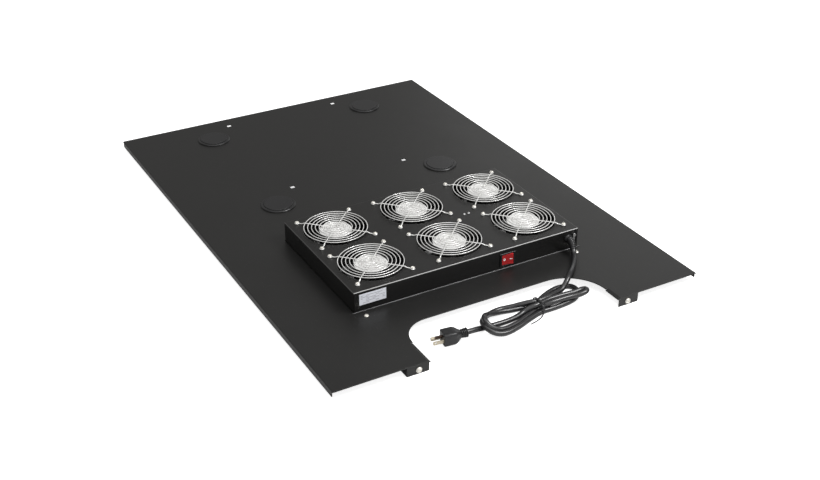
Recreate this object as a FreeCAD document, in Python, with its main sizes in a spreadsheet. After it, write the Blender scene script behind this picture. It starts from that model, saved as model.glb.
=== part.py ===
import FreeCAD
import Part
import math
import os
import Sketcher

# Rack roof panel with a six-fan exhaust tray, a rocker switch and a tied mains lead.
# Frame: origin at the middle of the footprint, +X to the right along the edge that
# has the cable cut-out, +Y to the back, +Z up. Millimetres throughout.

V = FreeCAD.Vector
doc = FreeCAD.newDocument("rack_fan_tray")

# ------------------------------------------------------------------ driving sizes
SIZES = [
    ("panel_width", 706, "roof panel, left to right"),
    ("panel_depth", 1014, "roof panel, front to back"),
    ("panel_mid_y", 1.75, "half of the tab screws' stand-out, so the footprint is centred"),
    ("panel_top", 18, "top face of the panel above the tab feet"),
    ("panel_sheet", 1.5, "panel gauge"),
    ("flange_drop", 11, "side flanges, from the top face down"),
    ("flange_relief", 4, "corner relief at each end of a side flange"),
    ("bend_radius", 2, "outer radius of the panel's bends"),
    ("cutout_half", 182.5, "half width of the cable cut-out"),
    ("cutout_depth", 107, "cable cut-out, from the front edge"),
    ("cutout_r_left", 50, "left corner of the cut-out"),
    ("cutout_r_right", 72, "right corner of the cut-out"),
    ("lip_plan", 5, "width of the bent lips beside the cut-out"),
    ("lip_fall", 2.5, "how far the lips slope down"),
    ("tab_mid", 205, "screw tabs, middle from the centre line"),
    ("tab_width", 40, "screw tab width"),
    ("tab_return", 26, "length of the tab's side return"),
    ("tab_screw_x", 203.5, "panel screw from the centre line"),
    ("tab_screw_z", 7, "panel screw above the feet"),
    ("square_side", 9.5, "cage-nut size square hole"),
    ("square_x", 125.5, "square holes from the centre line"),
    ("square_y_back", 474, "back pair of square holes"),
    ("square_y_front", 139.5, "front pair of square holes"),
    ("plug_x", 180.5, "cable-hole plugs from the centre line"),
    ("plug_y_back", 423, "back pair of plugs"),
    ("plug_y_front", 85, "front pair of plugs"),
    ("plug_hole_r", 31.3, "cable hole in the panel"),
    ("plug_cap_r", 33.75, "plug rim"),
    ("plug_face_r", 27.75, "plug's raised face"),
    ("box_width", 452, "fan housing, left to right"),
    ("box_depth", 278, "fan housing, front to back"),
    ("box_mid_y", -188.3, "fan housing middle"),
    ("box_rise", 38, "fan housing above the panel"),
    ("box_sheet", 1.2, "housing gauge"),
    ("box_gap", 0.5, "gap between housing and panel opening"),
    ("box_bend", 1.8, "housing edge radius"),
    ("box_flange", 28, "housing flange under the panel"),
    ("box_screw_x", 212, "housing screws from the centre line"),
    ("box_screw_y", 156.4, "housing screws from the housing's middle"),
    ("fan_pitch_x", 155.7, "fan to fan along X"),
    ("fan_pitch_y", 136, "fan to fan along Y"),
    ("fan_mid_y", -186.2, "middle of the six fans"),
    ("fan_side", 119.5, "square fan frame"),
    ("fan_height", 25, "fan frame thickness"),
    ("fan_hole", 52.4, "fan mounting hole from the fan's centre"),
    ("fan_bore_r", 58, "air duct through a fan"),
    ("fan_duct_r", 59.6, "outside of the duct between the flanges"),
    ("fan_flange", 3.5, "fan flange thickness"),
    ("motor_plate_r", 31, "fixed motor plate"),
    ("motor_plate", 3.2, "motor plate thickness"),
    ("bearing_tube_r", 6.5, "outside of the bearing tube"),
    ("bearing_seat_r", 5, "inside of the bearing tube"),
    ("bearing_height", 4, "ball bearing height"),
    ("shaft_r", 1.5, "rotor shaft"),
    ("shaft_clear", 0.04, "radial clearance of the shaft"),
    ("stator_r", 24, "stator stack"),
    ("cup_r", 30, "rotor cup outside"),
    ("cup_wall", 1.6, "rotor cup wall"),
    ("blade_count", 7, "blades on a rotor"),
    ("blade_tip_r", 55, "blade tip plane from the axis"),
    ("hub_label_r", 29.5, "round foil label on the motor plate"),
    ("guard_outer_r", 57, "outermost guard ring"),
    ("guard_step", 6.86, "guard ring spacing"),
    ("guard_wire_r", 0.9, "guard ring wire"),
    ("guard_arm_r", 1.1, "guard arm wire"),
    ("guard_rise", 5, "rings above the housing top"),
    ("screw_head_r", 3.7, "fan screw head"),
    ("screw_head", 2.4, "fan screw head height"),
    ("screw_r", 1.9, "fan screw shank"),
    ("switch_x", 75, "rocker switch from the centre line"),
    ("switch_z", 35.7, "rocker switch height"),
    ("switch_wide", 31, "switch bezel width"),
    ("switch_tall", 25, "switch bezel height"),
    ("rocker_half", 10.6, "rocker half length"),
    ("rocker_tilt", 10, "rocker angle each side of level"),
    ("gland_x", 204, "cord gland from the centre line"),
    ("gland_z", 40, "cord gland height"),
    ("clip_x", 217, "plated clip from the centre line"),
    ("clip_z", 36, "plated clip, middle height"),
    ("cord_r", 3.3, "mains cord"),
    ("label_x", -190.8, "blank rating label, middle"),
    ("label_z", 39.8, "blank rating label, middle height"),
    ("label_wide", 50.5, "blank rating label width"),
    ("label_tall", 21, "blank rating label height"),
    ("block_x", 79.2, "terminal block from the centre line"),
    ("hank_height", 13.4, "tied hank of cord, height"),
    ("plug_end_x", -89, "end of the plug's strain relief"),
    ("plug_end_y", -460.6, "end of the plug's strain relief"),
    ("plug_end_z", 12, "the same above the floor"),
]

sheet = doc.addObject("Spreadsheet::Sheet", "sizes")
for row, (alias, size, note) in enumerate(SIZES, start=1):
    sheet.set(f"A{row}", alias)
    sheet.set(f"B{row}", str(size))
    sheet.set(f"C{row}", note)
    sheet.setAlias(f"B{row}", alias)
doc.recompute()

FRONT = "sizes.panel_mid_y - sizes.panel_depth / 2"
BOX_FRONT = "sizes.box_mid_y - sizes.box_depth / 2"
BOX_TOP = "sizes.panel_top + sizes.box_rise"
FAN_TOP = "sizes.panel_top + sizes.box_rise - sizes.box_sheet"
kept = []


def value(expression):
    """The number that an expression over the sheet gives."""
    return float(sheet.evalExpression(str(expression)))


def keep(thing, label):
    """Name a finished sub-part and list it for export."""
    thing.Label = label
    kept.append(thing)
    return thing


# ------------------------------------------------------------------ sketch helpers
def new_body(name):
    body = doc.addObject("PartDesign::Body", name)
    body.AllowCompound = True
    return body


def new_sketch(body, role="XY_Plane", lift="0"):
    """A sketch on one of the body's own origin planes, lifted along its normal."""
    plane = [f for f in body.Origin.OriginFeatures if f.Role == role][0]
    sketch = body.newObject("Sketcher::SketchObject", body.Name + "_sketch")
    sketch.AttachmentSupport = [(plane, "")]
    sketch.MapMode = "FlatFace"
    sketch.setExpression("AttachmentOffset.Base.z", str(lift))
    return sketch


def bind(sketch, kind, where, expression):
    """Add a dimension to a sketch and drive it from the sheet."""
    index = sketch.addConstraint(Sketcher.Constraint(kind, *where, value(expression)))
    sketch.setExpression(f"Constraints[{index}]", str(expression))


def circle(sketch, x, y, radius):
    centre = V(value(x), value(y), 0)
    item = sketch.addGeometry(Part.Circle(centre, V(0, 0, 1), value(radius)))
    bind(sketch, "DistanceX", (-1, 1, item, 3), x)
    bind(sketch, "DistanceY", (-1, 1, item, 3), y)
    bind(sketch, "Radius", (item,), radius)


def polygon(sketch, corners):
    """A closed outline of straight lines; every corner is driven from the sheet."""
    spots = [V(value(x), value(y), 0) for x, y in corners]
    first = sketch.GeometryCount
    for i, spot in enumerate(spots):
        sketch.addGeometry(Part.LineSegment(spot, spots[(i + 1) % len(spots)]))
    for i in range(len(spots)):
        after = first + (i + 1) % len(spots)
        sketch.addConstraint(Sketcher.Constraint("Coincident", first + i, 2, after, 1))
    for i, (x, y) in enumerate(corners):
        bind(sketch, "DistanceX", (-1, 1, first + i, 1), x)
        bind(sketch, "DistanceY", (-1, 1, first + i, 1), y)


def rectangle(sketch, x, y, wide, tall):
    """A rectangle about the middle point x, y."""
    left = f"({x}) - ({wide}) / 2"
    right = f"({x}) + ({wide}) / 2"
    low = f"({y}) - ({tall}) / 2"
    high = f"({y}) + ({tall}) / 2"
    polygon(sketch, [(left, low), (right, low), (right, high), (left, high)])


# ------------------------------------------------------------------ feature helpers
def pad(body, sketch, length, down=False):
    feature = body.newObject("PartDesign::Pad", body.Name + "_pad")
    feature.Profile = sketch
    feature.setExpression("Length", str(length))
    feature.Reversed = down
    doc.recompute()
    return feature


def pocket(body, sketch, length, up=False):
    """Cut below the sketch (or above it with up) and make sure that it did."""
    before = body.Shape.Volume
    feature = body.newObject("PartDesign::Pocket", body.Name + "_pocket")
    feature.Profile = sketch
    feature.setExpression("Length", str(length))
    feature.Reversed = up
    doc.recompute()
    if body.Shape.Volume >= before - 1e-6:
        raise RuntimeError(f"{feature.Name} removed nothing")
    return feature


def revolve(body, sketch):
    """Turn a sketch on the XZ plane a full turn about the body's Z axis."""
    feature = body.newObject("PartDesign::Revolution", body.Name + "_revolution")
    feature.Profile = sketch
    feature.ReferenceAxis = (sketch, ["V_Axis"])
    feature.Angle = 360
    doc.recompute()
    return feature


def polar(body, features, count):
    """Repeat features round the body's Z axis."""
    feature = body.newObject("PartDesign::PolarPattern", body.Name + "_polar")
    feature.Originals = features
    axis = [f for f in body.Origin.OriginFeatures if f.Role == "Z_Axis"][0]
    feature.Axis = (axis, [""])
    feature.Angle = 360
    feature.setExpression("Occurrences", str(count))
    body.Tip = feature
    doc.recompute()
    return feature


def round_edges(body, radius, chosen):
    """Fillet the edges of the body's tip that the test picks."""
    tip = body.Tip
    names = []
    for i, edge in enumerate(tip.Shape.Edges, start=1):
        if chosen(edge):
            names.append(f"Edge{i}")
    if not names:
        raise RuntimeError(f"no edge to round on {body.Name}")
    feature = body.newObject("PartDesign::Fillet", body.Name + "_fillet")
    feature.Base = (tip, names)
    feature.setExpression("Radius", str(radius))
    doc.recompute()
    return feature


def runs_along(edge, axis):
    """True where a straight edge runs along a unit axis."""
    if edge.Curve.TypeId != "Part::GeomLine":
        return False
    way = edge.Vertexes[-1].Point - edge.Vertexes[0].Point
    return abs(way.dot(axis)) > 0.999 * way.Length


def near(a, b, slack=0.05):
    return abs(a - b) < slack


def place(thing, x, y, z, turn="0"):
    """Drive a placement from the sheet; turn is about Z, in degrees."""
    thing.setExpression("Placement.Base.x", str(x))
    thing.setExpression("Placement.Base.y", str(y))
    thing.setExpression("Placement.Base.z", str(z))
    if turn != "0":
        thing.Placement.Rotation = FreeCAD.Rotation(V(0, 0, 1), value(turn))
    return thing


def copy_of(master, name, x, y, z, turn="0"):
    """A linked copy of a master body at its own place."""
    link = doc.addObject("App::Link", name)
    link.LinkedObject = master
    return place(link, x, y, z, turn)


def group_of(label, master, places):
    """Identical small parts in one sub-part, each a separate solid."""
    links = []
    for i, (x, y, z) in enumerate(places, start=1):
        links.append(copy_of(master, f"{label}_item_{i}", x, y, z))
    group = doc.addObject("Part::Compound", label)
    group.Links = links
    return keep(group, label)


# ------------------------------------------------------------------ roof panel
def make_top_panel():
    """Flat sheet with downturned sides, a cable cut-out and two screw tabs."""
    body = new_body("top_panel")
    top = "sizes.panel_top"
    under = "sizes.panel_top - sizes.panel_sheet"
    outline = new_sketch(body, lift=top)
    rectangle(outline, "0", "sizes.panel_mid_y", "sizes.panel_width", "sizes.panel_depth")
    pad(body, outline, "sizes.panel_sheet", down=True)

    # cable cut-out, open to the front, with two large corner radii
    notch = new_sketch(body, lift=top)
    back = f"{FRONT} + sizes.cutout_depth"
    polygon(notch, [("-sizes.cutout_half", f"{FRONT} - 10"), ("sizes.cutout_half", f"{FRONT} - 10"),
                    ("sizes.cutout_half", back), ("-sizes.cutout_half", back)])
    pocket(body, notch, "sizes.panel_sheet * 2")
    for side, radius in ((-1, "sizes.cutout_r_left"), (1, "sizes.cutout_r_right")):
        corner_x = side * value("sizes.cutout_half")
        corner_y = value(back)
        round_edges(body, radius, lambda e: runs_along(e, V(0, 0, 1))
                    and near(e.CenterOfMass.x, corner_x) and near(e.CenterOfMass.y, corner_y))

    # the opening under the fans, and the holes
    openings = new_sketch(body, lift=top)
    rectangle(openings, "0", "sizes.box_mid_y", "sizes.box_width + 2 * sizes.box_gap",
              "sizes.box_depth + 2 * sizes.box_gap")
    for side in (-1, 1):
        for row in ("sizes.plug_y_front", "sizes.plug_y_back"):
            circle(openings, f"{side} * sizes.plug_x", row, "sizes.plug_hole_r")
        for row in ("sizes.square_y_front", "sizes.square_y_back"):
            rectangle(openings, f"{side} * sizes.square_x", row, "sizes.square_side", "sizes.square_side")
        for end in (-1, 1):
            circle(openings, f"{side} * sizes.box_screw_x",
                   f"sizes.box_mid_y + {end} * sizes.box_screw_y", "2.2")
    pocket(body, openings, "sizes.panel_sheet * 2")

    # the strips beside the cut-out are bent down into sloping lips
    strips = new_sketch(body, lift=top)
    for side, radius in ((-1, "sizes.cutout_r_left"), (1, "sizes.cutout_r_right")):
        length = f"(sizes.cutout_depth - {radius})"
        rectangle(strips, f"{side} * (sizes.cutout_half + sizes.lip_plan / 2)",
                  f"{FRONT} + {length} / 2", "sizes.lip_plan", length)
    pocket(body, strips, "sizes.panel_sheet * 2")
    for side, radius in ((-1, "sizes.cutout_r_left"), (1, "sizes.cutout_r_right")):
        lip = new_sketch(body, "XZ_Plane", f"-({FRONT} + sizes.cutout_depth - {radius})")
        root = f"{side} * (sizes.cutout_half + sizes.lip_plan)"
        edge = f"{side} * sizes.cutout_half"
        polygon(lip, [(root, top), (edge, f"{top} - sizes.lip_fall"),
                      (edge, f"{under} - sizes.lip_fall"), (root, under)])
        pad(body, lip, f"sizes.cutout_depth - {radius}")

    # side flanges, bent straight down
    sides = new_sketch(body, lift=under)
    for side in (-1, 1):
        rectangle(sides, f"{side} * (sizes.panel_width - sizes.panel_sheet) / 2", "sizes.panel_mid_y",
                  "sizes.panel_sheet", "sizes.panel_depth - 2 * sizes.flange_relief")
    pad(body, sides, "sizes.flange_drop - sizes.panel_sheet", down=True)

    # screw tabs at the front, each with a return on its outer side
    tabs = new_sketch(body, lift=under)
    gauge = "sizes.panel_sheet"
    for side in (-1, 1):
        inner = f"{side} * (sizes.tab_mid - sizes.tab_width / 2)"
        outer = f"{side} * (sizes.tab_mid + sizes.tab_width / 2)"
        wall = f"{side} * (sizes.tab_mid + sizes.tab_width / 2 - {gauge})"
        polygon(tabs, [(inner, FRONT), (outer, FRONT), (outer, f"{FRONT} + sizes.tab_return"),
                       (wall, f"{FRONT} + sizes.tab_return"), (wall, f"{FRONT} + {gauge}"),
                       (inner, f"{FRONT} + {gauge}")])
    pad(body, tabs, under, down=True)
    holes = new_sketch(body, "XZ_Plane", f"-({FRONT} - 5)")
    for side in (-1, 1):
        circle(holes, f"{side} * sizes.tab_screw_x", "sizes.tab_screw_z", "2.3")
    pocket(body, holes, "10")

    # outer bend radius along both sides
    edge_x = value("sizes.panel_width") / 2
    round_edges(body, "sizes.bend_radius", lambda e: runs_along(e, V(0, 1, 0)) and e.Length > 900
                and near(abs(e.CenterOfMass.x), edge_x) and near(e.CenterOfMass.z, value(top)))
    return keep(body, "top_panel")


# ------------------------------------------------------------------ cable-hole plugs
def make_hole_plugs():
    """Snap-in round plugs: a rim, a fine groove, a raised face and a skirt."""
    body = new_body("plug_master")
    profile = new_sketch(body, "XZ_Plane")
    face = "sizes.plug_face_r"
    rim = "sizes.plug_cap_r"
    hole = "sizes.plug_hole_r"
    polygon(profile, [
        ("0", "1.4"), (f"{face} - 2", "1.4"), (f"{face} - 2", "-7"), (f"{hole} - 2.2", "-7"),
        (f"{hole} - 0.7", "-7"), (f"{hole} + 0.5", "-3.4"), (f"{hole} + 0.5", "-2.6"),
        (f"{hole} - 0.3", "-1.7"), (f"{hole} - 0.3", "0"), (rim, "0"), (rim, "1.2"),
        (f"{rim} - 1.2", "2.4"), (f"{face} + 0.5", "2.4"), (f"{face} + 0.5", "1.6"),
        (face, "1.6"), (face, "2.8"), (f"{face} - 0.6", "3.3"), ("0", "3.3")])
    revolve(body, profile)
    places = []
    for row in ("sizes.plug_y_front", "sizes.plug_y_back"):
        for side in (-1, 1):
            places.append((f"{side} * sizes.plug_x", row, "sizes.panel_top"))
    return group_of("hole_plugs", body, places)


# ------------------------------------------------------------------ fan housing
def fan_places():
    """The six fan axes, front row first, left to right."""
    spots = []
    for row in (-1, 1):
        for column in (-1, 0, 1):
            spots.append((f"{column} * sizes.fan_pitch_x",
                          f"sizes.fan_mid_y + {row} * sizes.fan_pitch_y / 2"))
    return spots


def screw_places():
    """The four mounting holes of each fan."""
    spots = []
    for x, y in fan_places():
        for side in (-1, 1):
            for end in (-1, 1):
                spots.append((f"({x}) + {side} * sizes.fan_hole", f"({y}) + {end} * sizes.fan_hole"))
    return spots


def make_housing():
    """Folded steel box, open below, with a flange that sits under the panel."""
    body = new_body("fan_housing")
    under = "sizes.panel_top - sizes.panel_sheet"
    shell = new_sketch(body, lift=BOX_TOP)
    rectangle(shell, "0", "sizes.box_mid_y", "sizes.box_width", "sizes.box_depth")
    pad(body, shell, f"{BOX_TOP} - ({under})", down=True)
    flange = new_sketch(body, lift=under)
    rectangle(flange, "0", "sizes.box_mid_y", "sizes.box_width + 2 * sizes.box_flange",
              "sizes.box_depth + 2 * sizes.box_flange")
    pad(body, flange, "sizes.box_sheet", down=True)
    half_wide = value("sizes.box_width") / 2
    front = value(BOX_FRONT)
    back = front + value("sizes.box_depth")
    round_edges(body, "sizes.box_bend", lambda e: (
        (near(e.CenterOfMass.z, value(BOX_TOP)) and e.Length > 100)
        or (runs_along(e, V(0, 0, 1)) and e.Length > 30 and near(abs(e.CenterOfMass.x), half_wide)
            and (near(e.CenterOfMass.y, front) or near(e.CenterOfMass.y, back)))))
    inside = new_sketch(body, lift=f"{under} - sizes.box_sheet")
    rectangle(inside, "0", "sizes.box_mid_y", "sizes.box_width - 2 * sizes.box_sheet",
              "sizes.box_depth - 2 * sizes.box_sheet")
    pocket(body, inside, f"{BOX_TOP} - ({under})", up=True)

    ports = new_sketch(body, lift=BOX_TOP)
    for x, y in fan_places():
        circle(ports, x, y, "sizes.fan_bore_r")
    for x, y in screw_places():
        circle(ports, x, y, "2.2")
    for side in (-1, 1):
        circle(ports, f"sizes.block_x + {side} * 4.65", "sizes.fan_mid_y + 3", "1.5")
    pocket(body, ports, "sizes.box_sheet * 2")

    feet = new_sketch(body, lift=under)
    for side in (-1, 1):
        for end in (-1, 1):
            along = f"sizes.box_mid_y + {end} * sizes.box_screw_y"
            circle(feet, f"{side} * sizes.box_screw_x", along, "2.2")
    pocket(body, feet, "sizes.box_sheet * 2")

    wall = new_sketch(body, "XZ_Plane", f"-({BOX_FRONT} - 2)")
    rectangle(wall, "sizes.switch_x", "sizes.switch_z", "27.4", "23.4")
    circle(wall, "sizes.gland_x", "sizes.gland_z", "7")
    circle(wall, "sizes.clip_x", "sizes.clip_z + 8.6", "1.2")
    pocket(body, wall, "6")
    return keep(body, "fan_housing")


def make_fasteners():
    """Screws and nuts, one master each."""
    top = f"{BOX_TOP} + 2 * sizes.guard_arm_r"
    screw = new_body("fan_screw_master")
    profile = new_sketch(screw, "XZ_Plane")
    head = "sizes.screw_head_r"
    polygon(profile, [("0", "-13"), ("sizes.screw_r", "-13"), ("sizes.screw_r", "0"), (head, "0"),
                      (head, "0.7"), (f"{head} - 0.5", "1.6"), (f"{head} - 1.5", "2.2"),
                      (f"{head} - 2.6", "sizes.screw_head"), ("0", "sizes.screw_head")])
    revolve(screw, profile)
    group_of("guard_screws", screw, [(x, y, top) for x, y in screw_places()])

    nut = new_body("fan_nut_master")
    flats = new_sketch(nut)
    reach = 7 / math.sqrt(3)
    corners = []
    for i in range(6):
        angle = math.radians(60 * i)
        corners.append((str(round(reach * math.cos(angle), 4)), str(round(reach * math.sin(angle), 4))))
    polygon(flats, corners)
    pad(nut, flats, "3.2", down=True)
    thread = new_sketch(nut)
    circle(thread, "0", "0", "sizes.screw_r")
    pocket(nut, thread, "4")
    under = f"{FAN_TOP} - sizes.fan_flange"
    group_of("guard_nuts", nut, [(x, y, under) for x, y in screw_places()])

    mount = new_body("housing_screw_master")
    profile = new_sketch(mount, "XZ_Plane")
    polygon(profile, [("0", "-8"), ("1.9", "-8"), ("1.9", "0"), ("4.2", "0"), ("4.2", "0.8"),
                      ("3.6", "1.8"), ("2.4", "2.5"), ("0", "2.5")])
    revolve(mount, profile)
    corners = []
    for side in (-1, 1):
        for end in (-1, 1):
            corners.append((f"{side} * sizes.box_screw_x", f"sizes.box_mid_y + {end} * sizes.box_screw_y"))
    group_of("housing_screws", mount, [(x, y, "sizes.panel_top") for x, y in corners])
    low = "sizes.panel_top - sizes.panel_sheet - sizes.box_sheet"
    group_of("housing_nuts", nut, [(x, y, low) for x, y in corners])

    # captive panel screws: built along Y, head and washer in front of the tab
    captive = new_body("panel_screw_master")
    profile = new_sketch(captive, "XZ_Plane")
    polygon(profile, [("0", "-12.5"), ("2.1", "-12.5"), ("2.5", "-12"), ("2.5", "-2"), ("2", "-2"),
                      ("2", "0"), ("5.2", "0"), ("5.2", "1"), ("4.3", "1"), ("4.3", "1.8"),
                      ("3.4", "2.9"), ("1.8", "3.5"), ("0", "3.5")])
    revolve(captive, profile)
    group = doc.addObject("Part::Compound", "panel_screws")
    links = []
    for side in (-1, 1):
        across = f"{side} * sizes.tab_screw_x"
        link = copy_of(captive, f"panel_screw_{side + 2}", across, FRONT, "sizes.tab_screw_z")
        link.Placement.Rotation = FreeCAD.Rotation(V(1, 0, 0), 90)
        links.append(link)
    group.Links = links
    keep(group, "panel_screws")


# ------------------------------------------------------------------ one fan, z = 0 at its top face
def make_fan_frame():
    """Cast frame: two square flanges, a round duct, four struts and the motor plate."""
    body = new_body("fan_frame_master")
    height = "sizes.fan_height"
    flange = "sizes.fan_flange"
    for lift in ("0", f"{flange} - {height}"):
        square = new_sketch(body, lift=lift)
        rectangle(square, "0", "0", "sizes.fan_side", "sizes.fan_side")
        pad(body, square, flange, down=True)
        if lift == "0":
            duct = new_sketch(body)
            circle(duct, "0", "0", "sizes.fan_duct_r")
            pad(body, duct, height, down=True)
    half = value("sizes.fan_side") / 2
    round_edges(body, "5", lambda e: runs_along(e, V(0, 0, 1))
                and near(abs(e.CenterOfMass.x), half) and near(abs(e.CenterOfMass.y), half))
    bore = new_sketch(body)
    circle(bore, "0", "0", "sizes.fan_bore_r")
    for side in (-1, 1):
        for end in (-1, 1):
            circle(bore, f"{side} * sizes.fan_hole", f"{end} * sizes.fan_hole", "2.15")
    pocket(body, bore, height)

    plate = new_sketch(body)
    circle(plate, "0", "0", "sizes.motor_plate_r")
    pad(body, plate, "sizes.motor_plate", down=True)
    strut = new_sketch(body)
    rectangle(strut, "(sizes.motor_plate_r + sizes.fan_bore_r) / 2", "0",
              "sizes.fan_bore_r - sizes.motor_plate_r + 2", "5")
    arm = pad(body, strut, "4", down=True)
    polar(body, [arm], 4)
    tube = new_sketch(body)
    circle(tube, "0", "0", "sizes.bearing_tube_r")
    pad(body, tube, "20", down=True)
    seat = new_sketch(body, lift="-20")
    circle(seat, "0", "0", "sizes.bearing_seat_r")
    pocket(body, seat, "20 - sizes.motor_plate", up=True)
    return body


def make_fan_rotor():
    """Rotor cup with twisted blades, lofted from a steep root to a flatter tip."""
    body = new_body("fan_rotor_master")
    cup = new_sketch(body, lift="-5")
    circle(cup, "0", "0", "sizes.cup_r")
    pad(body, cup, "18.5", down=True)
    sections = []
    for reach, chord, pitch, thick in (("20", 25, 42, 1.7), ("sizes.blade_tip_r", 30, 26, 1.2)):
        along = V(math.cos(math.radians(pitch)), math.sin(math.radians(pitch)), 0)
        across = V(-along.y, along.x, 0)
        section = new_sketch(body, "YZ_Plane", reach)
        middle = V(0, -14.6, 0)
        outline = []
        for step, sag in ((-0.5, 0), (-0.17, 0.09), (0.17, 0.09), (0.5, 0)):
            outline.append(middle + along * chord * step + across * chord * sag)
        for step, sag in ((0.5, 0), (0.17, 0.09), (-0.17, 0.09), (-0.5, 0)):
            outline.append(middle + along * chord * step + across * (chord * sag + thick))
        polygon(section, [(str(round(p.x, 3)), str(round(p.y, 3))) for p in outline])
        sections.append(section)
    blade = body.newObject("PartDesign::AdditiveLoft", "fan_blade")
    blade.Profile = sections[0]
    blade.Sections = [sections[1]]
    blade.Ruled = True
    doc.recompute()
    polar(body, [blade], "sizes.blade_count")
    hollow = new_sketch(body, lift="-3")
    circle(hollow, "0", "0", "sizes.cup_r - sizes.cup_wall")
    pocket(body, hollow, "20.5 - sizes.cup_wall")
    boss = new_sketch(body, lift="-21.9")
    circle(boss, "0", "0", "4")
    pad(body, boss, "1")
    return body


def make_fans():
    """Six fans: frame, stator, rotor, shaft, foil label and finger guard each."""
    frame = make_fan_frame()
    rotor = make_fan_rotor()

    stator = new_body("fan_stator_master")
    stack = new_sketch(stator, lift="-6.5")
    circle(stack, "0", "0", "sizes.stator_r")
    circle(stack, "0", "0", "sizes.bearing_tube_r")
    pad(stator, stack, "10", down=True)

    shaft = new_body("fan_shaft_master")
    rod = new_sketch(shaft, lift="-20.9")
    circle(rod, "0", "0", "sizes.shaft_r")
    pad(shaft, rod, "16.4")

    bearing = new_body("fan_bearing_master")
    ring = new_sketch(bearing)
    circle(ring, "0", "0", "sizes.bearing_seat_r")
    circle(ring, "0", "0", "sizes.shaft_r + sizes.shaft_clear")
    pad(bearing, ring, "sizes.bearing_height", down=True)

    foil = new_body("hub_label_master")
    disc = new_sketch(foil)
    circle(disc, "0", "0", "sizes.hub_label_r")
    pad(foil, disc, "0.3")

    guard = make_guard()
    seats = []
    for number, (x, y) in enumerate(fan_places(), start=1):
        keep(copy_of(frame, f"frame_{number}", x, y, FAN_TOP), f"fan_frame_{number}")
        keep(copy_of(stator, f"stator_{number}", x, y, FAN_TOP), f"fan_stator_{number}")
        keep(copy_of(rotor, f"rotor_{number}", x, y, FAN_TOP, f"{number} * 17"), f"fan_rotor_{number}")
        keep(copy_of(shaft, f"shaft_{number}", x, y, FAN_TOP), f"fan_shaft_{number}")
        keep(copy_of(foil, f"foil_{number}", x, y, FAN_TOP), f"fan_hub_label_{number}")
        keep(copy_of(guard, f"guard_{number}", x, y, BOX_TOP), f"finger_guard_{number}")
        seats.append((x, y, f"{FAN_TOP} - 4.6"))
        seats.append((x, y, f"{FAN_TOP} - 15.5"))
    group_of("fan_bearings", bearing, seats)


def make_guard():
    """Welded wire guard: eight rings on four arms that step down to screw eyes."""
    parts = []
    for i in range(8):
        ring = doc.addObject("Part::Torus", f"guard_ring_{i + 1}")
        ring.setExpression("Radius1", f"sizes.guard_outer_r - {i} * sizes.guard_step")
        ring.setExpression("Radius2", "sizes.guard_wire_r")
        ring.setExpression("Placement.Base.z", "sizes.guard_rise")
        parts.append(ring)
    wire = value("sizes.guard_arm_r")
    high = value("sizes.guard_rise - sizes.guard_wire_r") - 0.7 * wire
    eye_at = value("sizes.fan_hole") * math.sqrt(2)
    eye_r = 3.3
    for i in range(4):
        turn = FreeCAD.Rotation(V(0, 0, 1), 45 + 90 * i)
        path = [V(7, 0, high), V(59.5, 0, high), V(65.5, 0, wire), V(eye_at - eye_r, 0, wire)]
        for start, end in zip(path, path[1:]):
            rod = doc.addObject("Part::Cylinder", f"guard_arm_{i + 1}")
            rod.setExpression("Radius", "sizes.guard_arm_r")
            rod.Height = (end - start).Length
            lay = FreeCAD.Rotation(V(0, 0, 1), end - start)
            rod.Placement = FreeCAD.Placement(turn.multVec(start), turn.multiply(lay))
            parts.append(rod)
        for knee in path[1:3]:
            ball = doc.addObject("Part::Sphere", f"guard_knee_{i + 1}")
            ball.setExpression("Radius", "sizes.guard_arm_r")
            ball.Placement.Base = turn.multVec(knee)
            parts.append(ball)
        eye = doc.addObject("Part::Torus", f"guard_eye_{i + 1}")
        eye.Radius1 = eye_r
        eye.setExpression("Radius2", "sizes.guard_arm_r")
        eye.Placement.Base = turn.multVec(V(eye_at, 0, wire))
        parts.append(eye)
    guard = doc.addObject("Part::MultiFuse", "guard_master")
    guard.Shapes = parts
    doc.recompute()
    return guard


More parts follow.
